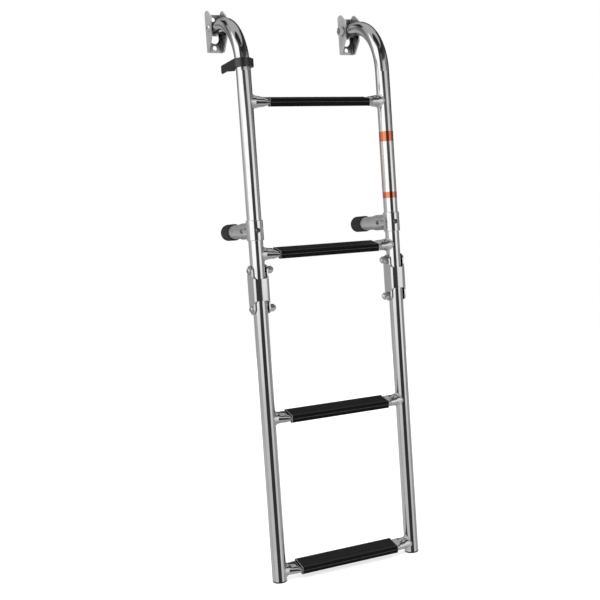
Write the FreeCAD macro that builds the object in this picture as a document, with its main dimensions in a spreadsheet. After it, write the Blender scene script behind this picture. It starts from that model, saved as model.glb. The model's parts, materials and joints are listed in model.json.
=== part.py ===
import FreeCAD, Part
import math
import os
import re
import Sketcher

# A folding swim ladder of stainless tube that hangs on two transom brackets.
# Millimetres, +X to the right as a swimmer sees it, +Y towards the boat, +Z up.
# The origin is the middle of the left bracket's back face, between its two screw holes.

SIZES = (
    ("tube_diameter", 25.4),
    ("tube_wall", 1.5),
    ("rail_spacing", 268),
    ("standoff_reach", 135),
    ("bend_radius", 97),
    ("rung_one_drop", 148.5),
    ("upper_rung_pitch", 259),
    ("middle_rung_pitch", 286),
    ("lower_rung_pitch", 270),
    ("foot_length", 16),
    ("pivot_setback", 23),
    ("pivot_rise", 6),
    ("rail_end_overhang", 13),
    ("bracket_plate", 2.5),
    ("bracket_ear_depth", 33.5),
    ("bracket_waist_depth", 29.5),
    ("bracket_ear_rise", 38),
    ("bracket_ear_drop", 34),
    ("bracket_crest_depth", 16),
    ("bracket_shoulder_rise", 24),
    ("bracket_shoulder_drop", 12),
    ("bracket_toe_depth", 9.5),
    ("bracket_corner_radius", 3),
    ("bracket_hole_spacing", 51),
    ("bracket_hole_diameter", 8.2),
    ("bracket_slot_width", 17.5),
    ("bracket_slot_height", 36),
    ("bracket_bend_radius", 1.5),
    ("side_clearance", 0.6),
    ("bolt_diameter", 8),
    ("pin_clearance", 0.05),
    ("head_diameter", 13.5),
    ("head_height", 4.5),
    ("bolt_socket_width", 5),
    ("bolt_socket_depth", 2.6),
    ("nut_width", 13),
    ("nut_height", 7),
    ("pivot_nut_height", 8.5),
    ("nut_dome_width", 11.7),
    ("nut_dome_height", 5),
    ("nut_thread_depth", 6.3),
    ("bolt_end_reach", 1),
    ("washer_diameter", 16),
    ("washer_thickness", 1.2),
    ("hinge_drop", 27.5),
    ("link_bolt_spacing", 66),
    ("link_plate", 2.3),
    ("link_back_depth", 12),
    ("link_bend_radius", 5.5),
    ("link_crown_angle", 18),
    ("link_ear_radius", 9.5),
    ("link_stop_gap", 1.5),
    ("stub_length", 24),
    ("rung_diameter", 22.2),
    ("rung_wall", 1.5),
    ("rung_flat_width", 31),
    ("rung_flat_height", 9.2),
    ("rung_round_length", 2.5),
    ("rung_swage_length", 9),
    ("rung_swage_width", 26.5),
    ("rung_swage_height", 17),
    ("weld_gap", 0.1),
    ("tread_length", 192),
    ("tread_wall", 1.7),
    ("tread_wall_height", 2.15),
    ("tread_corner_radius", 2.5),
    ("tread_bead_radius", 0.7),
    ("tread_groove_pitch", 3),
    ("tread_groove_width", 1.2),
    ("tread_groove_depth", 0.6),
    ("tread_lip_opening", 16),
    ("tread_fit", 0.1),
    ("tread_tilt", 13.5),
    ("standoff_height", 41),
    ("clamp_wall", 2),
    ("clamp_length", 34.5),
    ("clamp_edge_radius", 0.8),
    ("clamp_bore_clearance", 0.05),
    ("socket_wall", 1.6),
    ("socket_reach", 57),
    ("socket_floor", 3),
    ("cap_wall", 2.3),
    ("cap_length", 36),
    ("cap_end_thickness", 5),
    ("cap_edge_radius", 2),
    ("transom_gap", 0.3),
    ("screw_diameter", 5),
    ("screw_head_diameter", 8.5),
    ("screw_head_height", 2.6),
    ("screw_recess_length", 4.4),
    ("screw_recess_width", 1.3),
    ("screw_recess_depth", 1.5),
    ("side_screw_reach", 27),
    ("plug_rim", 2.5),
    ("plug_edge_radius", 0.8),
    ("plug_depth", 18),
    ("plug_clearance", 0.1),
    ("strap_drop", 83.5),
    ("strap_width", 14.5),
    ("strap_thickness", 1.9),
    ("strap_clearance", 1.5),
    ("strap_tail", 64),
    ("strap_corner_radius", 4),
    ("strap_lump", 1.5),
    ("strap_lump_half", 6),
)

os.makedirs("parts", exist_ok=True)
doc = FreeCAD.newDocument("folding_swim_ladder")
sheet = doc.addObject("Spreadsheet::Sheet", "sizes")
for row, (alias, size) in enumerate(SIZES, start=1):
    sheet.set(f"B{row}", str(size))
    sheet.setAlias(f"B{row}", alias)
doc.recompute()


# Formulas name the sheet's cells by their plain words

def sized(formula):
    return re.sub(r"\b[a-z]+(?:_[a-z]+)+\b", lambda word: "sizes." + word.group(0), str(formula))


def value(formula):
    return float(sheet.evalExpression(sized(formula)))


def bind(item, field, formula):
    item.setExpression(field, sized(formula))


tube_radius = "(tube_diameter / 2)"
bore_radius = "(tube_diameter / 2 - tube_wall)"
bolt_radius = "(bolt_diameter / 2)"
rail_y = "(-standoff_reach)"
pivot_y = "(-pivot_setback)"
rung_one_z = "(pivot_rise - rung_one_drop)"
rung_two_z = "(pivot_rise - rung_one_drop - upper_rung_pitch)"
rung_three_z = f"({rung_two_z} - middle_rung_pitch)"
rung_four_z = f"({rung_three_z} - lower_rung_pitch)"
foot_z = f"({rung_four_z} - foot_length)"
upper_bolt_z = f"({rung_two_z} - hinge_drop)"
lower_bolt_z = f"({upper_bolt_z} - link_bolt_spacing)"
standoff_z = f"({rung_two_z} + standoff_height)"
strap_z = "(pivot_rise - strap_drop)"
bracket_half = f"({tube_radius} + side_clearance + bracket_plate)"
link_half = f"({tube_radius} + side_clearance + link_plate)"

FULL_TURN = 2 * math.pi
TREAD_GROOVES = 8
SIDES = (("left", "0 * rail_spacing", 1), ("right", "rail_spacing", -1))


# Small helpers for sketches and features

def new_body(label, spot=("0", "0", "0"), turn=None):
    body = doc.addObject("PartDesign::Body", label)
    body.Label = label
    if turn:
        body.Placement = FreeCAD.Placement(FreeCAD.Vector(), turn)
    for axis, formula in zip("xyz", spot):
        if formula != "0":
            bind(body, f"Placement.Base.{axis}", formula)
    return body


def new_sketch(body, role, offset=None, tilt=None):
    sketch = body.newObject("Sketcher::SketchObject", body.Label + "_sketch")
    plane = next(item for item in body.Origin.OriginFeatures if item.Role == role)
    sketch.AttachmentSupport = [(plane, "")]
    sketch.MapMode = "FlatFace"
    if offset:
        bind(sketch, "AttachmentOffset.Base.z", offset)
    if tilt:
        sketch.AttachmentOffset = FreeCAD.Placement(FreeCAD.Vector(), FreeCAD.Rotation(FreeCAD.Vector(0, 0, 1), 1))
        bind(sketch, "AttachmentOffset.Rotation.Angle", tilt)
    return sketch


def pin(sketch, kind, edge, point, formula):
    rule = Sketcher.Constraint(kind, -1, 1, edge, point, value(formula))
    bind(sketch, f"Constraints[{sketch.addConstraint(rule)}]", formula)


def circle(sketch, across, up, radius):
    middle = FreeCAD.Vector(value(across), value(up), 0)
    edge = sketch.addGeometry(Part.Circle(middle, FreeCAD.Vector(0, 0, 1), value(radius)))
    pin(sketch, "DistanceX", edge, 3, across)
    pin(sketch, "DistanceY", edge, 3, up)
    rule = sketch.addConstraint(Sketcher.Constraint("Radius", edge, value(radius)))
    bind(sketch, f"Constraints[{rule}]", radius)


def outline(sketch, points):
    """A closed outline of (across, up) points. A point with a centre and a sense is reached by an arc."""
    first = sketch.GeometryCount
    spots = [FreeCAD.Vector(value(point[0]), value(point[1]), 0) for point in points]
    for index, point in enumerate(points):
        if len(point) == 2:
            sketch.addGeometry(Part.LineSegment(spots[index - 1], spots[index]))
        else:
            sketch.addGeometry(arc_between(spots[index - 1], spots[index], *point[2:]))
    for index, point in enumerate(points):
        edge, after = first + index, first + (index + 1) % len(points)
        mine, other = end_point(sketch, edge, spots[index]), end_point(sketch, after, spots[index])
        pin(sketch, "DistanceX", edge, mine, point[0])
        pin(sketch, "DistanceY", edge, mine, point[1])
        sketch.addConstraint(Sketcher.Constraint("Coincident", edge, mine, after, other))
        if len(point) > 2:
            upright = abs(spots[index].x - spots[index - 1].x) < 0.001
            kind, formula = ("DistanceX", point[2][0]) if upright else ("DistanceY", point[2][1])
            pin(sketch, kind, edge, 3, formula)


def arc_between(start, end, centre, sense):
    middle = FreeCAD.Vector(value(centre[0]), value(centre[1]), 0)
    begin = math.atan2(start.y - middle.y, start.x - middle.x)
    turn = (math.atan2(end.y - middle.y, end.x - middle.x) - begin) % FULL_TURN
    if sense == "clockwise":
        turn -= FULL_TURN
    radius = (end - middle).Length
    halfway = FreeCAD.Vector(math.cos(begin + turn / 2), math.sin(begin + turn / 2), 0) * radius
    return Part.Arc(start, middle + halfway, end)


def end_point(sketch, edge, spot):
    """Which end of an edge lies at a spot: an arc may be stored the other way round."""
    near = (sketch.getPoint(edge, 1) - spot).Length < (sketch.getPoint(edge, 2) - spot).Length
    return 1 if near else 2


def feature(body, kind, sketch, **fields):
    item = body.newObject("PartDesign::" + kind, f"{body.Label}_{kind.lower()}")
    item.Profile = sketch
    for field, formula in fields.items():
        if isinstance(formula, str) and field != "Type":
            bind(item, field, formula)
        else:
            setattr(item, field, formula)
    return item


def pad(body, sketch, length, backwards=False):
    return feature(body, "Pad", sketch, Length=length, Reversed=backwards)


def pad_both(body, sketch, length):
    item = pad(body, sketch, length)
    item.SideType = "Symmetric"
    return item


def cut_through(body, sketch):
    item = feature(body, "Pocket", sketch, Type="ThroughAll")
    item.SideType = "Symmetric"
    return item


def revolve(body, sketch, axis):
    item = body.newObject("PartDesign::Revolution", body.Label + "_revolution")
    item.Profile = sketch
    item.ReferenceAxis = (sketch, [axis])
    item.Angle = 360
    return item


def round_edges(body, radius, wanted):
    doc.recompute()
    base = body.Tip
    names = [f"Edge{index}" for index, edge in enumerate(base.Shape.Edges, start=1) if wanted(edge)]
    item = body.newObject("PartDesign::Fillet", body.Label + "_fillet")
    item.Base = (base, names)
    bind(item, "Radius", radius)
    return item


def runs_along(edge, axis):
    if edge.Curve.TypeId != "Part::GeomLine":
        return False
    return abs(getattr(edge.Curve.Direction, axis)) > 0.999


def lies_at(edge, **spot):
    middle = edge.CenterOfMass
    return all(abs(abs(getattr(middle, axis)) - abs(value(formula))) < 0.01 for axis, formula in spot.items())


# Transom brackets: a folded channel with two ears, a slotted web and a screw hole above and below the slot

def build_bracket(side, across):
    body = new_body(side + "_bracket", (across, "0", "0"))
    inner = f"({bracket_half} - bracket_plate)"
    section = new_sketch(body, "XY_Plane", "-bracket_ear_drop")
    outline(section, (
        (f"-{bracket_half}", "0"),
        (bracket_half, "0"),
        (bracket_half, "-bracket_ear_depth"),
        (inner, "-bracket_ear_depth"),
        (inner, "-bracket_plate"),
        (f"-{inner}", "-bracket_plate"),
        (f"-{inner}", "-bracket_ear_depth"),
        (f"-{bracket_half}", "-bracket_ear_depth"),
    ))
    pad(body, section, "bracket_ear_drop + bracket_ear_rise")
    round_edges(body, "bracket_bend_radius + bracket_plate",
                lambda edge: runs_along(edge, "z") and lies_at(edge, x=bracket_half, y="0"))
    round_edges(body, "bracket_bend_radius",
                lambda edge: runs_along(edge, "z") and lies_at(edge, x=inner, y="bracket_plate"))
    ears = new_sketch(body, "YZ_Plane")
    outline(ears, (
        ("bracket_plate", "-bracket_ear_drop - bracket_plate"),
        ("bracket_plate", "bracket_ear_rise + bracket_plate"),
        ("-bracket_ear_depth - bracket_plate", "bracket_ear_rise + bracket_plate"),
        ("-bracket_ear_depth - bracket_plate", "-bracket_ear_drop - bracket_plate"),
    ))
    outline(ears, (
        ("bracket_plate / 2", "-bracket_ear_drop"),
        ("bracket_plate / 2", "bracket_ear_drop"),
        ("-bracket_plate", "bracket_ear_drop"),
        ("-bracket_crest_depth / 2", "bracket_ear_rise"),
        ("-bracket_crest_depth", "bracket_ear_rise"),
        ("-bracket_ear_depth", "bracket_shoulder_rise"),
        ("-bracket_waist_depth", "-bracket_shoulder_drop"),
        ("-bracket_toe_depth", "-bracket_ear_drop"),
    ))
    cut_through(body, ears)
    round_edges(body, "bracket_corner_radius",
                lambda edge: runs_along(edge, "x") and edge.CenterOfMass.y < -value("bracket_toe_depth") + 1)
    holes = new_sketch(body, "XZ_Plane")
    circle(holes, "0", "bracket_hole_spacing / 2", "bracket_hole_diameter / 2")
    circle(holes, "0", "-bracket_hole_spacing / 2", "bracket_hole_diameter / 2")
    slot_half = "(bracket_slot_width / 2)"
    slot_rise = f"(bracket_slot_height / 2 - {slot_half})"
    outline(holes, (
        (slot_half, f"-{slot_rise}", ("0", f"-{slot_rise}"), "anticlockwise"),
        (slot_half, slot_rise),
        (f"-{slot_half}", slot_rise, ("0", slot_rise), "anticlockwise"),
        (f"-{slot_half}", f"-{slot_rise}"),
    ))
    cut_through(body, holes)
    pivot = new_sketch(body, "YZ_Plane")
    circle(pivot, pivot_y, "pivot_rise", f"{bolt_radius} + pin_clearance")
    cut_through(body, pivot)
    return body


# Bolts and nuts along X, the head on the outboard side

def hexagon(sketch, width):
    corner = f"({width} / 2 / cos(30))"
    outline(sketch, tuple((f"{corner} * cos({60 * step})", f"{corner} * sin({60 * step})") for step in range(6)))


def build_bolt(name, half, grip, spot, turn):
    body = new_body(name, spot, turn)
    shank = new_sketch(body, "YZ_Plane", f"-{half}")
    circle(shank, "0", "0", bolt_radius)
    pad(body, shank, f"{half} * 2 + {grip}")
    head = new_sketch(body, "XY_Plane")
    crown = f"(-{half} - head_height)"
    swell = f"((head_diameter ^ 2 / 4 + head_height ^ 2) / (2 * head_height))"
    outline(head, (
        (f"-{half}", "0"),
        (f"-{half}", "head_diameter / 2"),
        (crown, "0", (f"{crown} + {swell}", "0"), "anticlockwise"),
    ))
    revolve(body, head, "H_Axis")
    socket = new_sketch(body, "YZ_Plane", crown)
    hexagon(socket, "bolt_socket_width")
    feature(body, "Pocket", socket, Length="bolt_socket_depth", Reversed=True)
    return body


def build_nut(name, half, height, domed, spot, turn):
    body = new_body(name, spot, turn)
    washer = new_sketch(body, "YZ_Plane", half)
    circle(washer, "0", "0", "washer_diameter / 2")
    pad(body, washer, "washer_thickness")
    foot = f"({half} + washer_thickness)"
    ring = new_sketch(body, "YZ_Plane", foot)
    hexagon(ring, "nut_width")
    pad(body, ring, height)
    hole = new_sketch(body, "YZ_Plane", half)
    circle(hole, "0", "0", f"{bolt_radius} + pin_clearance")
    if not domed:
        feature(body, "Pocket", hole, Type="ThroughAll", Reversed=True)
        return body
    dome = new_sketch(body, "XY_Plane")
    base = f"({foot} + {height})"
    swell = "((nut_dome_width ^ 2 / 4 + nut_dome_height ^ 2) / (2 * nut_dome_height))"
    outline(dome, (
        (base, "0"),
        (f"{base} + nut_dome_height", "0"),
        (base, "nut_dome_width / 2", (f"{base} + nut_dome_height - {swell}", "0"), "anticlockwise"),
    ))
    revolve(body, dome, "H_Axis")
    feature(body, "Pocket", hole, Length=f"washer_thickness + {height}", Reversed=True)
    return body


# Rails: the upper pair bends back to the brackets, the lower pair is straight

def build_upper_rail(side, across):
    body = new_body(side + "_upper_rail", (across, "0", "0"))
    spine = new_sketch(body, "YZ_Plane")
    low, bend = f"({upper_bolt_z} - stub_length)", "(pivot_rise - bend_radius)"
    tip = f"({pivot_y} + rail_end_overhang)"
    corners = ((rail_y, low), (rail_y, bend), (f"{rail_y} + bend_radius", "pivot_rise"), (tip, "pivot_rise"))
    spots = [FreeCAD.Vector(value(one), value(two), 0) for one, two in corners]
    centre = FreeCAD.Vector(value(f"{rail_y} + bend_radius"), value(bend), 0)
    shoulder = centre + FreeCAD.Vector(-1, 1, 0).normalize() * value("bend_radius")
    spine.addGeometry(Part.LineSegment(spots[0], spots[1]))
    spine.addGeometry(Part.Arc(spots[1], shoulder, spots[2]))
    spine.addGeometry(Part.LineSegment(spots[2], spots[3]))
    spine.addConstraint(Sketcher.Constraint("Vertical", 0))
    spine.addConstraint(Sketcher.Constraint("Horizontal", 2))
    spine.addConstraint(Sketcher.Constraint("Tangent", 0, 2, 1, end_point(spine, 1, spots[1])))
    spine.addConstraint(Sketcher.Constraint("Tangent", 1, end_point(spine, 1, spots[2]), 2, 1))
    pin(spine, "DistanceX", 0, 1, rail_y)
    pin(spine, "DistanceY", 0, 1, low)
    pin(spine, "DistanceX", 2, 2, tip)
    pin(spine, "DistanceY", 2, 2, "pivot_rise")
    rule = spine.addConstraint(Sketcher.Constraint("Radius", 1, value("bend_radius")))
    bind(spine, f"Constraints[{rule}]", "bend_radius")
    ring = new_sketch(body, "XY_Plane", low)
    circle(ring, "0", rail_y, tube_radius)
    circle(ring, "0", rail_y, bore_radius)
    sweep = body.newObject("PartDesign::AdditivePipe", body.Label + "_sweep")
    sweep.Profile = ring
    sweep.Spine = (spine, [])
    sweep.Transition = "Transformed"
    holes = new_sketch(body, "YZ_Plane")
    circle(holes, pivot_y, "pivot_rise", f"{bolt_radius} + pin_clearance")
    circle(holes, rail_y, upper_bolt_z, f"{bolt_radius} + pin_clearance")
    cut_through(body, holes)
    return body


def build_lower_rail(side, across):
    body = new_body(side + "_lower_rail", (across, rail_y, "0"))
    ring = new_sketch(body, "XY_Plane", foot_z)
    circle(ring, "0", "0", tube_radius)
    circle(ring, "0", "0", bore_radius)
    pad(body, ring, f"{lower_bolt_z} + stub_length - {foot_z}")
    hole = new_sketch(body, "YZ_Plane")
    circle(hole, "0", lower_bolt_z, f"{bolt_radius} + pin_clearance")
    cut_through(body, hole)
    return body


def build_end_plug(side, across):
    body = new_body(side + "_end_plug", (across, rail_y, foot_z))
    rim = new_sketch(body, "XY_Plane")
    circle(rim, "0", "0", tube_radius)
    pad(body, rim, "plug_rim", backwards=True)
    stem = new_sketch(body, "XY_Plane")
    circle(stem, "0", "0", f"{bore_radius} - plug_clearance")
    pad(body, stem, "plug_depth")
    round_edges(body, "plug_edge_radius", lambda edge: lies_at(edge, z="plug_rim") and edge.CenterOfMass.z < 0)
    return body


# Rungs: round tube, coped to the rails at its ends and pressed flat and tilted under the tread

def flat_section(sketch, half_width, half_height):
    reach = f"({half_width} - {half_height})"
    outline(sketch, (
        (reach, half_height),
        (reach, f"-{half_height}", (reach, "0"), "clockwise"),
        (f"-{reach}", f"-{half_height}"),
        (f"-{reach}", half_height, (f"-{reach}", "0"), "clockwise"),
    ))


def round_section(sketch, radius):
    step = f"({radius} * cos(45))"
    outline(sketch, (
        (step, step, ("0", "0"), "clockwise"),
        (step, f"-{step}", ("0", "0"), "clockwise"),
        (f"-{step}", f"-{step}", ("0", "0"), "clockwise"),
        (f"-{step}", step, ("0", "0"), "clockwise"),
    ))


def add_rung_half(body, kind, wall, sign):
    """One half of a rung, smaller all round by a wall: round, then swaged, then flat as far as the middle."""
    rail = f"({sign} * rail_spacing / 2)"
    shoulder = f"({sign} * (rail_spacing / 2 - tube_diameter / 2 - rung_round_length))"
    swage = f"({sign} * (tread_length / 2 + rung_swage_length))"
    rim = f"({sign} * tread_length / 2)"
    sections = []
    for spot in (rail, shoulder):
        sketch = new_sketch(body, "YZ_Plane", spot, "tread_tilt")
        round_section(sketch, f"(rung_diameter / 2 - {wall})")
        sections.append(sketch)
    for spot, size in ((swage, "rung_swage"), (rim, "rung_flat"), ("0 * tread_length", "rung_flat")):
        sketch = new_sketch(body, "YZ_Plane", spot, "tread_tilt")
        flat_section(sketch, f"({size}_width / 2 - {wall})", f"({size}_height / 2 - {wall})")
        sections.append(sketch)
    loft = body.newObject("PartDesign::" + kind, f"{body.Label}_{kind.lower()}")
    loft.Profile = sections[0]
    loft.Sections = sections[1:]
    loft.Ruled = True


def build_rung(name, height):
    body = new_body(name, ("rail_spacing / 2", rail_y, height))
    for sign in ("-1", "1"):
        add_rung_half(body, "AdditiveLoft", "0 * rung_wall", sign)
    for sign in ("-1", "1"):
        add_rung_half(body, "SubtractiveLoft", "rung_wall", sign)
    cope = new_sketch(body, "XY_Plane")
    for sign in ("-", ""):
        circle(cope, f"{sign}rail_spacing / 2", "0", f"{tube_radius} + weld_gap")
    cut_through(body, cope)
    return body


def build_tread(name, height):
    """A moulded cover with a grooved top, a bead along its front face and an open underside."""
    body = new_body(name, ("rail_spacing / 2", rail_y, height))
    section = new_sketch(body, "YZ_Plane", "-tread_length / 2", "tread_tilt")
    wide, tall = "(rung_flat_width / 2 + tread_fit)", "(rung_flat_height / 2 + tread_fit)"
    far, top, lip = f"({wide} + tread_wall)", f"({tall} + tread_wall_height)", "(tread_lip_opening / 2)"
    turn, shoulder, brow = f"({wide} - {tall})", f"({far} - tread_corner_radius)", f"({top} - tread_corner_radius)"
    grooves = []
    for step in range(TREAD_GROOVES):
        middle = f"({(TREAD_GROOVES - 1) / 2 - step} * tread_groove_pitch)"
        near, away = f"({middle} + tread_groove_width / 2)", f"({middle} - tread_groove_width / 2)"
        floor = f"({top} - tread_groove_depth)"
        grooves += [(near, top), (near, floor), (away, floor), (away, top)]
    outline(section, (
        (lip, f"-{top}"),
        (shoulder, f"-{top}"),
        (far, f"-{brow}", (shoulder, f"-{brow}"), "anticlockwise"),
        (far, brow),
        (shoulder, top, (shoulder, brow), "anticlockwise"),
        *grooves,
        (f"-{shoulder}", top),
        (f"-{far}", brow, (f"-{shoulder}", brow), "anticlockwise"),
        (f"-{far}", "tread_bead_radius"),
        (f"-{far}", "-tread_bead_radius", (f"-{far}", "0"), "anticlockwise"),
        (f"-{far}", f"-{brow}"),
        (f"-{shoulder}", f"-{top}", (f"-{shoulder}", f"-{brow}"), "anticlockwise"),
        (f"-{lip}", f"-{top}"),
        (f"-{lip}", f"-{tall}"),
        (f"-{turn}", f"-{tall}"),
        (f"-{turn}", tall, (f"-{turn}", "0"), "clockwise"),
        (turn, tall),
        (turn, f"-{tall}", (turn, "0"), "clockwise"),
        (lip, f"-{tall}"),
    ))
    pad(body, section, "tread_length")
    return body


# Standoffs: a clamp on each upper rail carries a short tube with a soft cap against the transom

def build_standoff_clamp(side, across):
    body = new_body(side + "_standoff_clamp", (across, rail_y, standoff_z))
    sleeve = new_sketch(body, "XY_Plane")
    circle(sleeve, "0", "0", f"{tube_radius} + clamp_wall")
    pad_both(body, sleeve, "clamp_length")
    socket = new_sketch(body, "XZ_Plane")
    circle(socket, "0", "0", f"{tube_radius} + socket_wall")
    pad(body, socket, "socket_reach", backwards=True)
    round_edges(body, "clamp_edge_radius", lambda edge: edge.Curve.TypeId == "Part::GeomCircle" and (
        lies_at(edge, z="clamp_length / 2") or lies_at(edge, y="socket_reach")))
    rail_bore = new_sketch(body, "XY_Plane")
    circle(rail_bore, "0", "0", f"{tube_radius} + clamp_bore_clearance")
    cut_through(body, rail_bore)
    tube_bore = new_sketch(body, "XZ_Plane", f"-({tube_radius} + socket_floor)")
    circle(tube_bore, "0", "0", f"{tube_radius} + clamp_bore_clearance")
    feature(body, "Pocket", tube_bore, Length="socket_reach")
    screws = new_sketch(body, "XZ_Plane")
    circle(screws, "0", "0", "screw_diameter / 2 + pin_clearance")
    feature(body, "Pocket", screws, Length="tube_diameter", Reversed=True)
    side_hole = new_sketch(body, "YZ_Plane")
    circle(side_hole, "side_screw_reach", "0", "screw_diameter / 2 + pin_clearance")
    feature(body, "Pocket", side_hole, Length="tube_diameter")
    return body


def build_standoff_tube(side, across):
    body = new_body(side + "_standoff_tube", (across, rail_y, standoff_z))
    start = f"({tube_radius} + socket_floor)"
    ring = new_sketch(body, "XZ_Plane", f"-{start}")
    circle(ring, "0", "0", tube_radius)
    circle(ring, "0", "0", bore_radius)
    pad(body, ring, f"standoff_reach - transom_gap - cap_end_thickness - {start}", backwards=True)
    return body


def build_standoff_cap(side, across):
    body = new_body(side + "_standoff_cap", (across, "0", standoff_z))
    cup = new_sketch(body, "XZ_Plane", "transom_gap")
    circle(cup, "0", "0", f"{tube_radius} + cap_wall")
    pad(body, cup, "cap_length")
    round_edges(body, "cap_edge_radius", lambda edge: edge.Curve.TypeId == "Part::GeomCircle")
    hollow = new_sketch(body, "XZ_Plane", "transom_gap + cap_end_thickness")
    circle(hollow, "0", "0", f"{tube_radius} + clamp_bore_clearance")
    feature(body, "Pocket", hollow, Length="cap_length", Reversed=True)
    return body


def build_screw(name, length, spot, turn):
    """A cross head screw along its own X axis, the head on the minus side."""
    body = new_body(name, spot, turn)
    shank = new_sketch(body, "YZ_Plane")
    circle(shank, "0", "0", "screw_diameter / 2")
    pad(body, shank, length)
    head = new_sketch(body, "XY_Plane")
    swell = "((screw_head_diameter ^ 2 / 4 + screw_head_height ^ 2) / (2 * screw_head_height))"
    outline(head, (
        ("0", "0"),
        ("0", "screw_head_diameter / 2"),
        ("-screw_head_height", "0", (f"{swell} - screw_head_height", "0"), "anticlockwise"),
    ))
    revolve(body, head, "H_Axis")
    cross = new_sketch(body, "YZ_Plane", "-screw_head_height")
    arm, half = "(screw_recess_length / 2)", "(screw_recess_width / 2)"
    outline(cross, (
        (arm, half),
        (half, half),
        (half, arm),
        (f"-{half}", arm),
        (f"-{half}", half),
        (f"-{arm}", half),
        (f"-{arm}", f"-{half}"),
        (f"-{half}", f"-{half}"),
        (f"-{half}", f"-{arm}"),
        (half, f"-{arm}"),
        (half, f"-{half}"),
        (arm, f"-{half}"),
    ))
    feature(body, "Pocket", cross, Length="screw_recess_depth", Reversed=True)
    return body


def build_standoff_screws(side, across):
    quarter = FreeCAD.Rotation(FreeCAD.Vector(0, 0, 1), 90)
    front_y = f"({rail_y} - {tube_radius} - clamp_wall)"
    front = build_screw(side + "_front_screw", "clamp_wall", (across, front_y, standoff_z), quarter)
    flank_x = f"({across} - {tube_radius} - socket_wall)"
    flank_y = f"({rail_y} + side_screw_reach)"
    flank = build_screw(side + "_side_screw", "socket_wall", (flank_x, flank_y, standoff_z), None)
    pair = doc.addObject("Part::Compound", side + "_standoff_screws")
    pair.Label = side + "_standoff_screws"
    pair.Links = [front, flank]
    return pair


# Hinge links: a channel round the front of both tube ends, open behind, with rounded ears at its bolts

def build_link(side, across):
    body = new_body(side + "_hinge_link", (across, rail_y, upper_bolt_z))
    inner = f"({link_half} - link_plate)"
    hub = f"({inner} - link_bend_radius)"
    crown_y = f"({hub} / tan(link_crown_angle) - {hub})"
    across_tip, along_tip = [], []
    for radius in ("link_bend_radius + link_plate", "link_bend_radius"):
        across_tip.append(f"({hub} + ({radius}) * sin(link_crown_angle))")
        along_tip.append(f"(-{hub} - ({radius}) * cos(link_crown_angle))")
    section = new_sketch(body, "XY_Plane", "-link_bolt_spacing - link_ear_radius")
    outline(section, (
        (link_half, "link_back_depth"),
        (link_half, f"-{hub}"),
        (across_tip[0], along_tip[0], (hub, f"-{hub}"), "clockwise"),
        (f"-{across_tip[0]}", along_tip[0], ("0", crown_y), "clockwise"),
        (f"-{link_half}", f"-{hub}", (f"-{hub}", f"-{hub}"), "clockwise"),
        (f"-{link_half}", "link_back_depth"),
        (f"-{inner}", "link_back_depth"),
        (f"-{inner}", f"-{hub}"),
        (f"-{across_tip[1]}", along_tip[1], (f"-{hub}", f"-{hub}"), "anticlockwise"),
        (across_tip[1], along_tip[1], ("0", crown_y), "anticlockwise"),
        (inner, f"-{hub}", (hub, f"-{hub}"), "anticlockwise"),
        (inner, "link_back_depth"),
    ))
    pad(body, section, "link_bolt_spacing + link_ear_radius * 2")
    ears = new_sketch(body, "YZ_Plane")
    front, clear = f"({link_half} + link_plate)", f"({link_half} + link_plate * 2)"
    above, below = "(link_ear_radius * 2)", "(-link_bolt_spacing - link_ear_radius * 2)"
    outline(ears, ((clear, below), (clear, above), (f"-{clear}", above), (f"-{clear}", below)))
    stop = f"({tube_radius} + link_stop_gap)"
    outline(ears, (
        ("-link_ear_radius", "0"),
        ("link_ear_radius", "0", ("0", "0"), "clockwise"),
        ("link_back_depth", "-link_ear_radius"),
        ("link_back_depth", "-link_bolt_spacing + link_ear_radius"),
        ("link_ear_radius", "-link_bolt_spacing"),
        ("-link_ear_radius", "-link_bolt_spacing", ("0", "-link_bolt_spacing"), "clockwise"),
        ("-link_ear_radius", "-link_bolt_spacing + link_ear_radius"),
        (f"-{inner}", f"-link_bolt_spacing + {stop}"),
        (f"-{front}", f"-link_bolt_spacing + {stop}"),
        (f"-{front}", f"-{stop}"),
        (f"-{inner}", f"-{stop}"),
        ("-link_ear_radius", "-link_ear_radius"),
    ))
    cut_through(body, ears)
    holes = new_sketch(body, "YZ_Plane")
    circle(holes, "0", "0", f"{bolt_radius} + pin_clearance")
    circle(holes, "0", "-link_bolt_spacing", f"{bolt_radius} + pin_clearance")
    cut_through(body, holes)
    return body


# Strap round the left upper rail, its free end lying back towards the boat

def build_strap():
    rise = "max(bend_radius - strap_drop + strap_width / 2; 0)"
    shift = f"(bend_radius * (1 - cos(asin({rise} / bend_radius))) / 2)"
    body = new_body("strap", ("0", f"{rail_y} + {shift}", strap_z))
    inner, outer = f"({tube_radius} + strap_clearance)", f"({tube_radius} + strap_clearance + strap_thickness)"
    band = new_sketch(body, "XY_Plane")
    circle(band, "0", "0", outer)
    pad_both(body, band, "strap_width")
    tail = new_sketch(body, "XY_Plane")
    outline(tail, ((f"-{outer}", "0"), (f"-{inner}", "0"), (f"-{inner}", "strap_tail"), (f"-{outer}", "strap_tail")))
    pad_both(body, tail, "strap_width")
    round_edges(body, "strap_corner_radius", lambda edge: runs_along(edge, "x") and lies_at(edge, y="strap_tail"))
    lump = new_sketch(body, "XY_Plane")
    bulge = f"({outer} + strap_lump)"
    outline(lump, (("0", f"-{outer}"), (bulge, "-strap_lump_half"), (bulge, "strap_lump_half"), ("0", outer)))
    pad_both(body, lump, "strap_width")
    hollow = new_sketch(body, "XY_Plane")
    circle(hollow, "0", "0", inner)
    cut_through(body, hollow)
    return body


# The whole ladder

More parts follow.
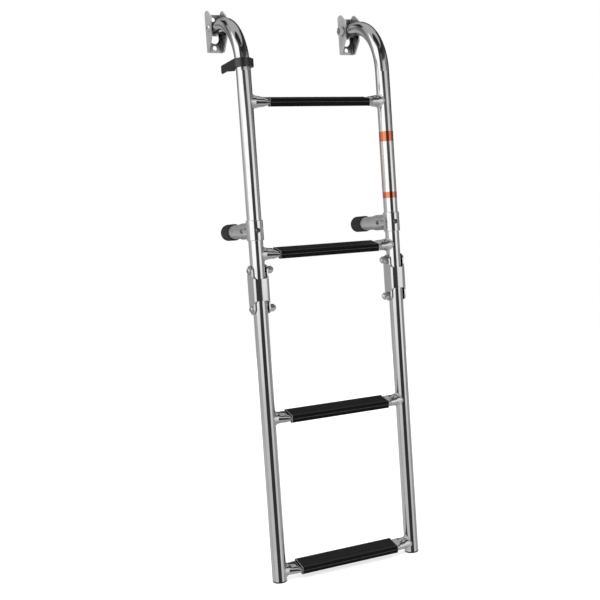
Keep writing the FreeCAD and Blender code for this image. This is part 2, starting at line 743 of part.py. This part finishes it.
pivot_grip = "washer_thickness + pivot_nut_height + bolt_end_reach"
hinge_grip = "washer_thickness + nut_thread_depth"
nodes = []
for side, across, outboard in SIDES:
    turn = FreeCAD.Rotation(FreeCAD.Vector(0, 0, 1), 0 if outboard == 1 else 180)
    nodes.append(build_bracket(side, across))
    pivot_spot = (across, pivot_y, "pivot_rise")
    nodes.append(build_bolt(side + "_pivot_bolt", bracket_half, pivot_grip, pivot_spot, turn))
    nodes.append(build_nut(side + "_pivot_nut", bracket_half, "pivot_nut_height", False, pivot_spot, turn))
    nodes.append(build_upper_rail(side, across))
    nodes.append(build_standoff_clamp(side, across))
    nodes.append(build_standoff_tube(side, across))
    nodes.append(build_standoff_cap(side, across))
    nodes.append(build_standoff_screws(side, across))
    nodes.append(build_link(side, across))
    for place, height in (("upper", upper_bolt_z), ("lower", lower_bolt_z)):
        spot = (across, rail_y, height)
        nodes.append(build_bolt(f"{side}_{place}_hinge_bolt", link_half, hinge_grip, spot, turn))
        nodes.append(build_nut(f"{side}_{place}_hinge_nut", link_half, "nut_height", True, spot, turn))
    nodes.append(build_lower_rail(side, across))
    nodes.append(build_end_plug(side, across))
for number, height in enumerate((rung_one_z, rung_two_z, rung_three_z, rung_four_z), start=1):
    nodes.append(build_rung(f"rung_{number}", height))
    nodes.append(build_tread(f"tread_{number}", height))
nodes.append(build_strap())

doc.recompute()
for item in doc.Objects:
    if "Invalid" in item.State or "Error" in item.State:
        raise RuntimeError(f"{item.Label} did not build: {item.State}")
for node in nodes:
    if node.Shape.isNull() or not node.Shape.isValid():
        raise RuntimeError(f"{node.Label} has no valid shape")
for node in nodes:
    node.Shape.exportStep(f"parts/{node.Label}.step")
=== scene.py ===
import json
import math

import bmesh
import bpy
from mathutils import Matrix, Vector


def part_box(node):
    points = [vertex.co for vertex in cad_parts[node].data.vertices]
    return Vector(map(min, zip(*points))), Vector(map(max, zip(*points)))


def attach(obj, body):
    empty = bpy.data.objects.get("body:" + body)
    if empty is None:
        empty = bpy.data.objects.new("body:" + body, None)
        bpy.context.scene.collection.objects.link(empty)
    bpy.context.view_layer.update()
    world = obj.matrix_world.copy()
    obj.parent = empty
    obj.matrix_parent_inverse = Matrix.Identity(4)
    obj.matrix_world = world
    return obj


# A folding swim ladder of polished tube with black treads, in the row frame, in metres.
# +X is to the right as a swimmer sees it, +Y towards the boat, +Z up.

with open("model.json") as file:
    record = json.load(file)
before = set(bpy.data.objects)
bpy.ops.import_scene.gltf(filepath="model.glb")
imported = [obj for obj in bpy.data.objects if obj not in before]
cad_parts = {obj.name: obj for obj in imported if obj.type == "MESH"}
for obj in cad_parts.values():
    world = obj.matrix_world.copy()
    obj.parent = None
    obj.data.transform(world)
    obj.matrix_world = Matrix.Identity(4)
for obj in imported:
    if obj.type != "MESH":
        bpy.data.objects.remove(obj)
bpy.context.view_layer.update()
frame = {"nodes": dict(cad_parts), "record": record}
nodes = frame["nodes"]

MM = 0.001
SIDES = ("left", "right")
FULL_TURN = 2 * math.pi
WHITE = (1, 1, 1, 1)


def middle(node):
    low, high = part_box(node)
    return (low + high) / 2


rail_radius = (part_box("right_lower_rail")[1].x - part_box("right_lower_rail")[0].x) / 2
rail_y = middle("right_lower_rail").y
rail_x = {side: middle(side + "_lower_rail").x for side in SIDES}
floor_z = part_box("left_end_plug")[0].z


# Node trees: one call adds a node, sets it up and links what feeds it

def add_node(tree, kind, inputs=None, **settings):
    item = tree.nodes.new(kind)
    for name, setting in settings.items():
        setattr(item, name, setting)
    for name, source in (inputs or {}).items():
        if isinstance(source, bpy.types.NodeSocket):
            tree.links.new(source, item.inputs[name])
        else:
            item.inputs[name].default_value = source
    return item


def math_node(tree, operation, *values):
    item = add_node(tree, "ShaderNodeMath", operation=operation)
    for index, source in enumerate(values):
        if isinstance(source, bpy.types.NodeSocket):
            tree.links.new(source, item.inputs[index])
        else:
            item.inputs[index].default_value = source
    return item.outputs[0]


def ramp(tree, factor, stops, interpolation="LINEAR"):
    """A colour ramp. Each stop is (place, grey) or (place, (red, green, blue))."""
    item = add_node(tree, "ShaderNodeValToRGB", {"Fac": factor})
    item.color_ramp.interpolation = interpolation
    points = item.color_ramp.elements
    while len(points) < len(stops):
        points.new(0.5)
    for point, (place, colour) in zip(points, stops):
        point.position = place
        if not isinstance(colour, tuple):
            colour = (colour, colour, colour)
        point.color = (*colour, 1)
    return item.outputs["Color"]


def noise(tree, scale, detail=3, stretch=(1, 1, 1)):
    place = add_node(tree, "ShaderNodeTexCoord").outputs["Object"]
    mapped = add_node(tree, "ShaderNodeMapping", {"Vector": place, "Scale": stretch}).outputs[0]
    return add_node(tree, "ShaderNodeTexNoise", {"Vector": mapped, "Scale": scale, "Detail": detail})


def new_material(name, **sockets):
    material = bpy.data.materials.new(name)
    material.use_nodes = True
    tree = material.node_tree
    shader = tree.nodes["Principled BSDF"]
    for socket, setting in sockets.items():
        shader.inputs[socket.replace("_", " ")].default_value = setting
    return material, tree, shader


def feed(tree, shader, socket, source):
    tree.links.new(source, shader.inputs[socket])


def bump(tree, shader, height, strength, distance):
    item = add_node(tree, "ShaderNodeBump", {"Height": height, "Strength": strength, "Distance": distance})
    feed(tree, shader, "Normal", item.outputs[0])


# Materials. Tints are linear colours, and a texture's scale is in cells per metre.

SMEAR_SCALE = 45
SMEAR_SHADE = 0.94
LINE_STRETCH = (1, 1, 0.04)
LINE_DEPTH = 0.2 * MM
BARREL_DULLNESS = 0.34
PLATE_METAL = 0.4
PLATE_SHADE = 0.88
PLATE_GRAIN_SCALE = 900
PLATE_GRAIN_STRETCH = (1, 1, 0.3)
PLATE_GRAIN_DEPTH = 0.3 * MM
PLATE_CLOUD_SCALE = 60
MOULDING_CLOUD_SCALE = 50
MOULDING_HIGHLIGHT = 1.35
MOULDING_SPREAD = 0.14
TOP_LEAN = (0.6, 0.95)


def mottled(tree, factor, first, second):
    """From one tint to the other over the middle of a noise's range."""
    return ramp(tree, factor, ((0.35, first), (0.65, second)))


def painted_crevice_shade(tree, colour, reach, closed, clear, depth):
    """Painted shade: the colour darkened by what stands within reach, down to the depth where only the
    closed share of the surroundings is open, and not at all from the clear share up."""
    around = add_node(tree, "ShaderNodeAmbientOcclusion", {"Distance": reach}, samples=8)
    shade = ramp(tree, around.outputs["AO"], ((closed, depth), (clear, 1.0)))
    shaded = add_node(tree, "ShaderNodeVectorMath", {0: colour, 1: shade}, operation="MULTIPLY")
    return shaded.outputs["Vector"]


def polished_steel(name, tint, roughness, spread, line_scale, shade=None, metal=1.0, satin_from=None):
    """Mirror-polished stainless: a clean reflection with faint buffing lines and soft smears, and painted
    shade darkening its crevices when shade is given.
    satin_from is a place along Y past which the steel is only satin."""
    material, tree, shader = new_material(name, Metallic=metal)
    smears = noise(tree, SMEAR_SCALE, 4).outputs["Fac"]
    lines = noise(tree, line_scale, 2, LINE_STRETCH).outputs["Fac"]
    both = math_node(tree, "MULTIPLY", smears, lines)
    dullness = math_node(tree, "MULTIPLY_ADD", both, spread, roughness)
    if satin_from is not None:
        place = add_node(tree, "ShaderNodeTexCoord").outputs["Object"]
        depth = add_node(tree, "ShaderNodeSeparateXYZ", {0: place}).outputs["Y"]
        past = math_node(tree, "GREATER_THAN", depth, satin_from)
        dullness = math_node(tree, "MULTIPLY_ADD", past, BARREL_DULLNESS, dullness)
    feed(tree, shader, "Roughness", dullness)
    darker = tuple(SMEAR_SHADE * part for part in tint)
    colour = mottled(tree, smears, darker, tint)
    # painted shade: the colour darkened in crevices and where parts meet
    if shade:
        colour = painted_crevice_shade(tree, colour, **shade)
    feed(tree, shader, "Base Color", colour)
    bump(tree, shader, lines, 0.04, LINE_DEPTH)
    return material


def satin_steel(name, tint, roughness, spread, shade):
    """Pressed stainless plate: a soft, even reflection over a fine grain, with painted shade darkening its
    crevices.
    """
    material, tree, shader = new_material(name, Metallic=PLATE_METAL)
    grain = noise(tree, PLATE_GRAIN_SCALE, 3, PLATE_GRAIN_STRETCH).outputs["Fac"]
    clouds = noise(tree, PLATE_CLOUD_SCALE, 3).outputs["Fac"]
    feed(tree, shader, "Roughness", math_node(tree, "MULTIPLY_ADD", clouds, spread, roughness))
    darker = tuple(PLATE_SHADE * part for part in tint)
    colour = mottled(tree, clouds, darker, tint)
    feed(tree, shader, "Base Color", painted_crevice_shade(tree, colour, **shade))
    bump(tree, shader, grain, 0.05, PLATE_GRAIN_DEPTH)
    return material


def black_moulding(name, tint, roughness, grain_scale, grain_depth, shine=0.5, painted_top_sheen=0.0):
    """Black plastic or rubber with a fine moulded grain, and a painted sheen that makes its upward-facing
    top paler if asked.
    """
    material, tree, shader = new_material(name, Specular_IOR_Level=shine)
    grain = noise(tree, grain_scale, 4).outputs["Fac"]
    clouds = noise(tree, MOULDING_CLOUD_SCALE, 3).outputs["Fac"]
    lighter = tuple(MOULDING_HIGHLIGHT * part for part in tint)
    colour = mottled(tree, clouds, tint, lighter)
    # painted sheen: surfaces facing up are made paler, standing for the gloss the top catches
    if painted_top_sheen:
        low, high = TOP_LEAN
        facing = add_node(tree, "ShaderNodeTexCoord").outputs["Normal"]
        upward = add_node(tree, "ShaderNodeSeparateXYZ", {0: facing}).outputs["Z"]
        top_sheen = ramp(tree, upward, ((low, 0.0), (high, painted_top_sheen)))
        sheened = add_node(tree, "ShaderNodeVectorMath", {0: colour, 1: top_sheen}, operation="ADD")
        colour = sheened.outputs["Vector"]
    feed(tree, shader, "Base Color", colour)
    feed(tree, shader, "Roughness", math_node(tree, "MULTIPLY_ADD", grain, MOULDING_SPREAD, roughness))
    bump(tree, shader, grain, 0.35, grain_depth)
    return material


barrel_start = rail_y + rail_radius + 2.2 * MM
# Painted shade for crevices, contacts and the brackets' insides: how far it reaches and how dark it goes
bolt_shade = {"reach": 5 * MM, "closed": 0.3, "clear": 0.85, "depth": 0.1}
nut_shade = {"reach": 7 * MM, "closed": 0.35, "clear": 0.85, "depth": 0.08}
screw_shade = {"reach": 4 * MM, "closed": 0.3, "clear": 0.85, "depth": 0.05}
plate_shade = {"reach": 28 * MM, "closed": 0.48, "clear": 0.82, "depth": 0.0}

steel_tube = polished_steel(
    "polished_tube", (0.88, 0.88, 0.885), roughness=0.045, spread=0.08, line_scale=260)
steel_fitting = polished_steel(
    "polished_fitting", (0.86, 0.86, 0.865), roughness=0.06, spread=0.1, line_scale=320,
    satin_from=barrel_start)
steel_fastener = polished_steel(
    "fastener_steel", (0.86, 0.86, 0.86), roughness=0.045, spread=0.08, line_scale=400,
    shade=nut_shade, metal=0.85)
# A darker copy of the fastener steel for the hinge bolts: painted shade on their outboard heads
dark_painted_bolt = polished_steel(
    "bolt_steel_painted_dark", (0.55, 0.55, 0.55), roughness=0.05, spread=0.08, line_scale=400,
    shade=bolt_shade, metal=0.85)
steel_screw = polished_steel(
    "screw_steel", (0.24, 0.24, 0.24), roughness=0.1, spread=0.1, line_scale=400, shade=screw_shade)
steel_plate = satin_steel(
    "bracket_steel", (0.82, 0.82, 0.825), roughness=0.12, spread=0.1, shade=plate_shade)
weld_steel = polished_steel(
    "weld_steel", (0.95, 0.95, 0.95), roughness=0.12, spread=0.2, line_scale=500)
label_orange = polished_steel(
    "label_orange", (0.84, 0.27, 0.15), roughness=0.1, spread=0.1, line_scale=300)
label_clear = polished_steel(
    "label_clear", (0.9, 0.9, 0.88), roughness=0.1, spread=0.1, line_scale=300)
# The tread's top is made paler as a painted sheen
tread_black = black_moulding(
    "tread_plastic", (0.0025, 0.0025, 0.003), roughness=0.34, grain_scale=1500, grain_depth=0.12 * MM,
    shine=0.15, painted_top_sheen=0.022)
# The nose bead's paler grey is a painted highlight over a real moulded bead
tread_ridge_highlight = black_moulding(
    "tread_ridge_highlight", (0.06, 0.06, 0.06), roughness=0.2, grain_scale=1500, grain_depth=0.05 * MM, shine=1.0)
# The end rims' pale grey is a painted highlight on the tread ends' rounded edges
tread_edge_highlight = black_moulding(
    "tread_edge_highlight", (0.3, 0.3, 0.3), roughness=0.4, grain_scale=1500, grain_depth=0.1 * MM)
rubber_black = black_moulding(
    "black_rubber", (0.012, 0.012, 0.013), roughness=0.5, grain_scale=1100, grain_depth=0.2 * MM)
plug_black = black_moulding(
    "black_plastic", (0.014, 0.014, 0.015), roughness=0.4, grain_scale=1300, grain_depth=0.1 * MM)
strap_black = black_moulding(
    "strap_webbing", (0.007, 0.007, 0.008), roughness=0.16, grain_scale=700, grain_depth=0.2 * MM, shine=1.0)

FINISHES = {
    "polished_tube": steel_tube,
    "polished_fitting": steel_fitting,
    "bracket_steel": steel_plate,
    "fastener_steel": steel_fastener,
    "tread_plastic": tread_black,
    "black_rubber": rubber_black,
    "black_plastic": plug_black,
    "strap_webbing": strap_black,
}


def dress_frame():
    """Gives each solid its slot's finish, and some small parts a duller or darker one. The hinge bolts'
    darker steel is painted shade.
    """
    for row in frame["record"]["subparts"]:
        mesh = nodes[row["node"]].data
        mesh.materials.clear()
        mesh.materials.append(FINISHES[row["material_slot"]])
    for side in SIDES:
        nodes[side + "_standoff_screws"].data.materials[0] = steel_screw
        nodes[side + "_standoff_tube"].data.materials[0] = steel_fitting
        nodes[side + "_upper_hinge_bolt"].data.materials[0] = dark_painted_bolt
        nodes[side + "_lower_hinge_bolt"].data.materials[0] = dark_painted_bolt


dress_frame()


# Pieces added over the solids

def polygon_tube(name, points, thickness, material, closed=True, swell=None):
    """A round bead along a line of points. swell gives each point's thickness as a share."""
    data = bpy.data.curves.new(name, "CURVE")
    data.dimensions = "3D"
    data.bevel_depth = thickness / 2
    data.bevel_resolution = 2
    data.use_fill_caps = not closed
    spline = data.splines.new("POLY")
    spline.points.add(len(points) - 1)
    spline.use_cyclic_u = closed
    for index, (point, spot) in enumerate(zip(spline.points, points)):
        point.co = (*spot, 1)
        point.radius = swell(index / len(points)) if swell else 1
    piece = bpy.data.objects.new(name, data)
    bpy.context.scene.collection.objects.link(piece)
    data.materials.append(material)
    return piece


weld_thickness = 2.6 * MM
weld_sink = 0.3 * MM
weld_ripples = 34
weld_ripple_share = 0.16
weld_steps = 136


def build_weld(rung, side, body):
    """The bead where a rung meets a rail, along the saddle that a cross tube cuts on it."""
    low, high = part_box(rung)
    inward = 1 if side == "left" else -1
    centre = Vector((rail_x[side], rail_y, (low.z + high.z) / 2))
    rung_radius = (high.z - low.z) / 2 + weld_sink
    spots = []
    for step in range(weld_steps):
        angle = FULL_TURN * step / weld_steps
        y, z = rung_radius * math.cos(angle), rung_radius * math.sin(angle)
        x = math.sqrt(rail_radius ** 2 - y ** 2) + weld_sink
        spots.append(centre + Vector((inward * x, y, z)))

    def ripple(share):
        return 1 + weld_ripple_share * math.cos(FULL_TURN * weld_ripples * share)

    bead = polygon_tube(f"{rung}_{side}_weld", spots, weld_thickness, weld_steel, swell=ripple)
    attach(bead, body)


tread_half_depth = 17.3 * MM
tread_half_height = 6.85 * MM
tread_corner = 2.5 * MM
tread_half_opening = 8 * MM
tread_tilt = math.radians(13.5)
tread_rim = 0.9 * MM
ridge_rise = 0.8 * MM
ridge_thickness = 0.9 * MM
corner_steps = 5


def tread_profile():
    """The tread's outline from one lip of its open underside over the top to the other, untilted."""
    deep, high = tread_half_depth - tread_corner, tread_half_height - tread_corner
    spots = [(tread_half_opening, -tread_half_height)]
    for across, up, start in ((deep, -high, -90), (deep, high, 0), (-deep, high, 90), (-deep, -high, 180)):
        for step in range(corner_steps + 1):
            angle = math.radians(start + 90 * step / corner_steps)
            spots.append((across + tread_corner * math.cos(angle), up + tread_corner * math.sin(angle)))
    spots.append((-tread_half_opening, -tread_half_height))
    return spots


def build_tread_rims(number, body):
    """A rounded edge round each end of a tread cover, coloured pale as a painted highlight."""
    low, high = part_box(f"tread_{number}")
    centre = middle(f"rung_{number}")
    for side, end_x in (("left", low.x), ("right", high.x)):
        spots = []
        for across, up in tread_profile():
            y = across * math.cos(tread_tilt) - up * math.sin(tread_tilt)
            z = across * math.sin(tread_tilt) + up * math.cos(tread_tilt)
            spots.append(Vector((end_x, centre.y + y, centre.z + z)))
        rim = polygon_tube(f"tread_{number}_{side}_rim", spots, tread_rim, tread_edge_highlight, closed=False)
        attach(rim, body)


def build_tread_ridge(number, body):
    """The moulded bead along the middle of a tread cover's front edge, coloured paler than the tread as a
    painted highlight line.
    """
    low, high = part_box(f"tread_{number}")
    centre = middle(f"rung_{number}")
    y = centre.y - tread_half_depth * math.cos(tread_tilt) - ridge_rise * math.sin(tread_tilt)
    z = centre.z - tread_half_depth * math.sin(tread_tilt) + ridge_rise * math.cos(tread_tilt)
    ends = [Vector((low.x, y, z)), Vector((high.x, y, z))]
    bead = polygon_tube(f"tread_{number}_ridge", ends, ridge_thickness, tread_ridge_highlight, closed=False)
    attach(bead, body)


RUNG_BODIES = {1: "upper_section", 2: "upper_section", 3: "lower_section", 4: "lower_section"}

for number, body in RUNG_BODIES.items():
    build_tread_rims(number, body)
    build_tread_ridge(number, body)
    for side in SIDES:
        build_weld(f"rung_{number}", side, body)


# The strap's under layer, the end of the webbing that shows below its tail

strap_layer_inner = 12.95 * MM
strap_layer_outer = 14.15 * MM
strap_layer_rise = 5 * MM
strap_layer_hang = 12.6 * MM
strap_layer_end_hang = 7.6 * MM
strap_layer_length = 40 * MM
strap_layer_corner = 2.5 * MM
strap_layer_softness = 0.4 * MM


def build_strap_layer():
    """A thin tongue of webbing inside the tail, hanging lower beside the rail."""
    level = middle("strap").z
    start, end = rail_y + strap_layer_corner, rail_y + strap_layer_length
    profile = (
        (start, level + strap_layer_rise),
        (end, level + strap_layer_rise),
        (end, level - strap_layer_end_hang + strap_layer_corner),
        (end - strap_layer_corner, level - strap_layer_end_hang),
        (start + strap_layer_corner, level - strap_layer_hang),
        (start, level - strap_layer_hang + strap_layer_corner),
    )
    mesh = bpy.data.meshes.new("strap_layer")
    shape = bmesh.new()
    for x in (rail_x["left"] - strap_layer_outer, rail_x["left"] - strap_layer_inner):
        shape.faces.new([shape.verts.new((x, y, z)) for y, z in profile])
    shape.verts.ensure_lookup_table()
    count = len(profile)
    for index in range(count):
        after = (index + 1) % count
        corners = (index, after, after + count, index + count)
        shape.faces.new([shape.verts[corner] for corner in corners])
    bmesh.ops.recalc_face_normals(shape, faces=shape.faces)
    shape.to_mesh(mesh)
    shape.free()
    mesh.materials.append(strap_black)
    piece = bpy.data.objects.new("strap_layer", mesh)
    bpy.context.scene.collection.objects.link(piece)
    edge = piece.modifiers.new("soft_edges", "BEVEL")
    edge.width = strap_layer_softness
    edge.segments = 3
    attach(piece, "upper_section")


build_strap_layer()


# The label on the right rail: two glossy bands, a clear pale film between them and a line down its left edge

label_top = -197.5 * MM
label_bottom = -317.5 * MM
label_band = 18 * MM
label_foot_band = 11 * MM
label_line = 4 * MM
label_lift = 0.15 * MM
label_left = math.radians(-113)
label_right = math.radians(67)
film_steps = 40


def film(name, low, high, first, last, lift, material):
    """A thin film wrapped on the right rail. Angles run from the front of the rail towards the right."""
    mesh = bpy.data.meshes.new(name)
    shape = bmesh.new()
    rows = []
    for step in range(film_steps + 1):
        angle = first + (last - first) * step / film_steps
        x = rail_x["right"] + (rail_radius + lift) * math.sin(angle)
        y = rail_y - (rail_radius + lift) * math.cos(angle)
        rows.append([shape.verts.new((x, y, z)) for z in (low, high)])
    for near, far in zip(rows, rows[1:]):
        shape.faces.new((near[0], far[0], far[1], near[1])).smooth = True
    shape.to_mesh(mesh)
    shape.free()
    mesh.materials.append(material)
    piece = bpy.data.objects.new(name, mesh)
    bpy.context.scene.collection.objects.link(piece)
    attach(piece, "upper_section")


def build_label():
    line_end = label_left + label_line / rail_radius
    band_end = label_top - label_band
    foot_band_end = label_bottom + label_foot_band
    over = label_lift * 2
    film("label_film", label_bottom, label_top, label_left, label_right, label_lift, label_clear)
    film("label_top_band", band_end, label_top, label_left, label_right, over, label_orange)
    film("label_foot_band", label_bottom, foot_band_end, label_left, label_right, over, label_orange)
    film("label_line", label_bottom, label_top, label_left, line_end, over, label_orange)


build_label()


# Stage: a floor at the ladder's feet, a studio seen only in reflections, soft lamps and the camera

floor_radius = 3.0
floor_middle = (0.1, -0.1, floor_z - 0.5 * MM)
floor_glow = 0.6


def build_floor():
    bpy.ops.mesh.primitive_circle_add(
        vertices=96, radius=floor_radius, fill_type="NGON", location=floor_middle)
    floor = bpy.context.object
    floor.name = "floor"
    material, tree, shader = new_material("floor_white", Base_Color=(0.8, 0.8, 0.8, 1))
    grain = noise(tree, 30, 2).outputs["Fac"]
    feed(tree, shader, "Roughness", math_node(tree, "MULTIPLY_ADD", grain, 0.1, 0.85))
    paths = add_node(tree, "ShaderNodeLightPath")
    glow = add_node(tree, "ShaderNodeEmission", {"Color": WHITE, "Strength": floor_glow})
    seen = add_node(tree, "ShaderNodeMixShader", {"Fac": paths.outputs["Is Camera Ray"]})
    lit = add_node(tree, "ShaderNodeAddShader")
    tree.links.new(shader.outputs[0], lit.inputs[0])
    tree.links.new(glow.outputs[0], lit.inputs[1])
    tree.links.new(shader.outputs[0], seen.inputs[1])
    tree.links.new(lit.outputs[0], seen.inputs[2])
    tree.links.new(seen.outputs[0], tree.nodes["Material Output"].inputs["Surface"])
    floor.data.materials.append(material)
    floor.visible_glossy = False


camera_azimuth = 0.4163
camera_elevation = 0.0698
camera_roll = -0.0685
camera_place = Vector((-0.5916, -1.6435, -0.3714))
camera_lens = 56.6
camera_sensor = 36


def build_camera():
    ahead = Vector((
        math.sin(camera_azimuth) * math.cos(camera_elevation),
        math.cos(camera_azimuth) * math.cos(camera_elevation),
        -math.sin(camera_elevation),
    ))
    level = Vector((math.cos(camera_azimuth), -math.sin(camera_azimuth), 0))
    upright = level.cross(ahead)
    right = level * math.cos(camera_roll) + upright * math.sin(camera_roll)
    up = upright * math.cos(camera_roll) - level * math.sin(camera_roll)
    data = bpy.data.cameras.new("camera")
    data.lens = camera_lens
    data.sensor_width = camera_sensor
    camera = bpy.data.objects.new("camera", data)
    turn = Matrix((right, up, -ahead)).transposed().to_4x4()
    camera.matrix_world = Matrix.Translation(camera_place) @ turn
    bpy.context.scene.collection.objects.link(camera)
    bpy.context.scene.camera = camera


# The studio that the polished steel mirrors. Bearings are in degrees to the right of the camera's side,
# heights in degrees above the horizon, and lean is how far a panel slides to the right for each degree up.

STUDIO_GREY = 0.37
EDGE_SOFTNESS = 7
EVEN_LIGHT = 0.62
BACKDROP_LIGHT = 1.0

STUDIO = (
    # brightness, bearings, heights, lean
    (0.42, (-200, 200), (56, 100), 0.0),
    (0.50, (-190, -98), (-40, -9), 0.0),
    (0.44, (-102, -60), (-40, -4), 0.0),
    (0.55, (-64, -10), (-40, -9), 0.0),
    (0.58, (36, 78), (-40, -9), 0.0),
    (0.33, (76, 125), (-40, 4), 0.0),
    (0.45, (122, 190), (-40, -4), 0.0),
    (0.80, (-60, -10), (-10, -3), 0.0),
    (0.84, (36, 74), (-10, -3), 0.0),
    (0.26, (76, 132), (-10, 8), 0.0),
    (0.38, (-190, -100), (-2, 14), 0.0),
    (0.60, (-94, -66), (0, 10), 0.0),
    (1.15, (-68, -6), (-4, 14), 0.0),
    (0.95, (40, 78), (-4, 8), 0.0),
    (0.12, (130, 190), (-4, 8), 0.0),
    (1.15, (-96, -18), (7, 48), 0.0),
    (0.68, (62, 100), (6, 13), -4.0),
    (0.14, (76, 150), (7, 13), 0.0),
    (0.55, (22, 62), (12, 29), 0.0),
    (0.18, (62, 112), (12, 25), 0.0),
    (0.05, (12, 120), (29, 50), 0.0),
    (0.04, (110, 200), (5, 46), 0.0),
    (0.24, (-200, -150), (6, 40), 0.0),
    (0.09, (-154, -124), (7, 13), 0.0),
    (0.10, (-128, -112), (16, 32), 0.0),
    (0.02, (-144, -118), (32, 51), 0.0),
    (0.045, (-4, 42), (-9, 7), 0.0),
    (0.035, (-15, 41), (-40, -4), 0.0),
    (0.05, (21, 63), (6, 14), -4.0),
    (0.05, (-30, 8), (12, 57), 0.0),
    (0.02, (-60, 52), (55, 85), 0.0),
    (0.02, (0, 140), (42, 54), 0.0),
    (0.12, (-178, -136), (-45, -18), 0.0),
)


def inside(tree, angle, limits, softness):
    """1 where an angle is between two limits, falling to 0 over a soft edge."""
    low, high = limits
    off = math_node(tree, "ABSOLUTE", math_node(tree, "SUBTRACT", angle, (low + high) / 2))
    edge = add_node(tree, "ShaderNodeMapRange", {"Value": off}, interpolation_type="SMOOTHSTEP")
    edge.inputs["From Min"].default_value = (high - low) / 2 + softness / 2
    edge.inputs["From Max"].default_value = (high - low) / 2 - softness / 2
    return edge.outputs["Result"]


def studio_light(tree):
    way = add_node(tree, "ShaderNodeTexCoord").outputs["Generated"]
    right = (math.cos(camera_azimuth), -math.sin(camera_azimuth), 0)
    back = (-math.sin(camera_azimuth), -math.cos(camera_azimuth), 0)
    aside = add_node(tree, "ShaderNodeVectorMath", {0: way, 1: right}, operation="DOT_PRODUCT")
    behind = add_node(tree, "ShaderNodeVectorMath", {0: way, 1: back}, operation="DOT_PRODUCT")
    turned = math_node(tree, "ARCTAN2", aside.outputs["Value"], behind.outputs["Value"])
    bearing = math_node(tree, "DEGREES", turned)
    rise = add_node(tree, "ShaderNodeSeparateXYZ", {0: way}).outputs["Z"]
    height = math_node(tree, "DEGREES", math_node(tree, "ARCSINE", rise))
    light = add_node(tree, "ShaderNodeValue")
    light.outputs[0].default_value = STUDIO_GREY
    light = light.outputs[0]
    for brightness, bearings, heights, lean in STUDIO:
        leant = math_node(tree, "MULTIPLY_ADD", height, -lean, bearing)
        across = inside(tree, leant, bearings, EDGE_SOFTNESS)
        up = inside(tree, height, heights, EDGE_SOFTNESS)
        both = math_node(tree, "MULTIPLY", across, up)
        mixed = add_node(tree, "ShaderNodeMix", {"Factor": both, "A": light, "B": brightness})
        light = mixed.outputs["Result"]
    return light


def build_world():
    world = bpy.data.worlds.new("studio")
    bpy.context.scene.world = world
    world.use_nodes = True
    tree = world.node_tree
    tree.nodes.clear()
    paths = add_node(tree, "ShaderNodeLightPath")
    glossy = add_node(tree, "ShaderNodeBackground", {"Color": WHITE, "Strength": studio_light(tree)})
    even = add_node(tree, "ShaderNodeBackground", {"Color": WHITE, "Strength": EVEN_LIGHT})
    white = add_node(tree, "ShaderNodeBackground", {"Color": WHITE, "Strength": BACKDROP_LIGHT})
    lit = add_node(tree, "ShaderNodeMixShader", {"Fac": paths.outputs["Is Glossy Ray"]})
    tree.links.new(even.outputs[0], lit.inputs[1])
    tree.links.new(glossy.outputs[0], lit.inputs[2])
    shown = add_node(tree, "ShaderNodeMixShader", {"Fac": paths.outputs["Is Camera Ray"]})
    tree.links.new(lit.outputs[0], shown.inputs[1])
    tree.links.new(white.outputs[0], shown.inputs[2])
    output = add_node(tree, "ShaderNodeOutputWorld")
    tree.links.new(shown.outputs[0], output.inputs["Surface"])


def add_lamp(name, strength, softness, heading):
    data = bpy.data.lights.new(name, "SUN")
    data.energy = strength
    data.angle = math.radians(softness)
    lamp = bpy.data.objects.new(name, data)
    lamp.rotation_mode = "QUATERNION"
    lamp.rotation_quaternion = Vector(heading).to_track_quat("-Z", "Y")
    lamp.visible_glossy = False
    bpy.context.scene.collection.objects.link(lamp)


build_floor()
build_camera()
build_world()
add_lamp("key_lamp", strength=1.0, softness=25, heading=(0.7, 0.75, -1.1))
add_lamp("fill_lamp", strength=0.4, softness=40, heading=(-0.9, 0.5, -0.7))

bpy.context.scene.view_settings.view_transform = "Standard"
